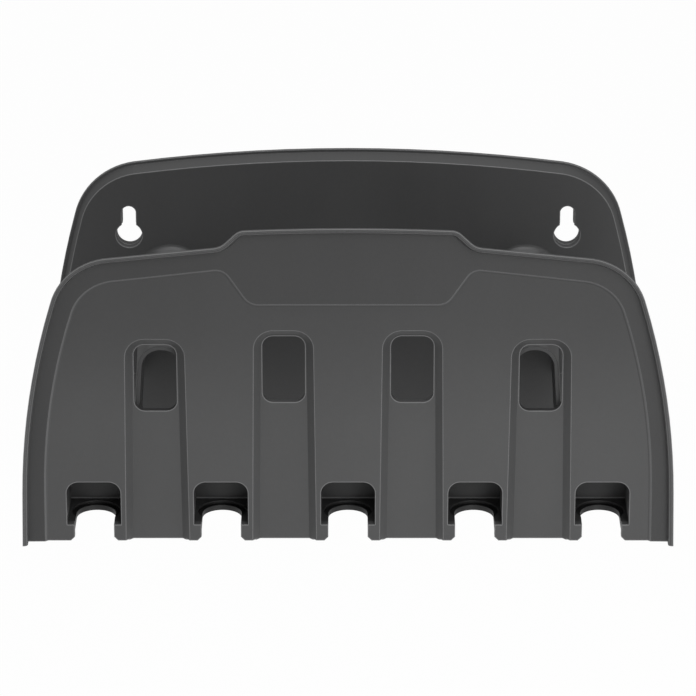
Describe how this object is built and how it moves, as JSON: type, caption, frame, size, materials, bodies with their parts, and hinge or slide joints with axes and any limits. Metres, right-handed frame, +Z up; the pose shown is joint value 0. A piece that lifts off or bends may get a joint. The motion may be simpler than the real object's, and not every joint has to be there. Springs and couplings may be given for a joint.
{
  "type": "hose hanger",
  "caption": "Wall-mounted hanger for a garden hose: a front shield with grooves, windows and seats for fittings, two bearers for the coil, and a wall plate with keyholes.",
  "frame": {"origin": "centre of the bounding box's bottom face: midway between the sides and between the rim's front and the wall plane, at the height of the lower edges", "axes": "+X to the right along the wall as seen from the front, +Y from the front shield towards the wall, +Z up"},
  "size_m": [0.269, 0.121, 0.14],
  "materials": {
    "grey_plastic": "dark grey moulded plastic with a fine matt grain"
  },
  "bodies": {
    "root": {"hanger_body": "grey_plastic"}
  },
  "joints": []
}
